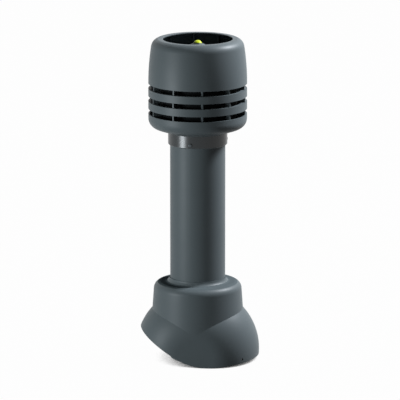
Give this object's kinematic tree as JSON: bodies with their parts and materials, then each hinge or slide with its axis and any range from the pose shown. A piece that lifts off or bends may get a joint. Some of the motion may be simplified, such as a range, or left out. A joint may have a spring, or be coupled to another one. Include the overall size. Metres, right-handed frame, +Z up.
{
  "type": "roof vent aerator",
  "caption": "Roof vent with a saddle-shaped skirt for a sloping roof, a round riser pipe and a slotted, open-topped hood over an inner rain cone.",
  "frame": {"origin": "on the pipe's axis at its lower end", "axes": "+Z up along the pipe, +X down the roof's fall, -Y towards the front cheek of the skirt"},
  "size_m": [0.2375, 0.196, 0.649],
  "materials": {
    "graphite_plastic": "satin",
    "lime_plastic": "satin",
    "screw_steel": "blackened"
  },
  "bodies": {
    "root": {"base_skirt": "graphite_plastic", "riser_pipe": "graphite_plastic", "hood_bowl": "graphite_plastic", "hood_shell": "graphite_plastic", "louvre_cage": "graphite_plastic", "deflector_cone": "graphite_plastic", "cone_cap": "lime_plastic", "collar_screws": "screw_steel"}
  },
  "joints": []
}
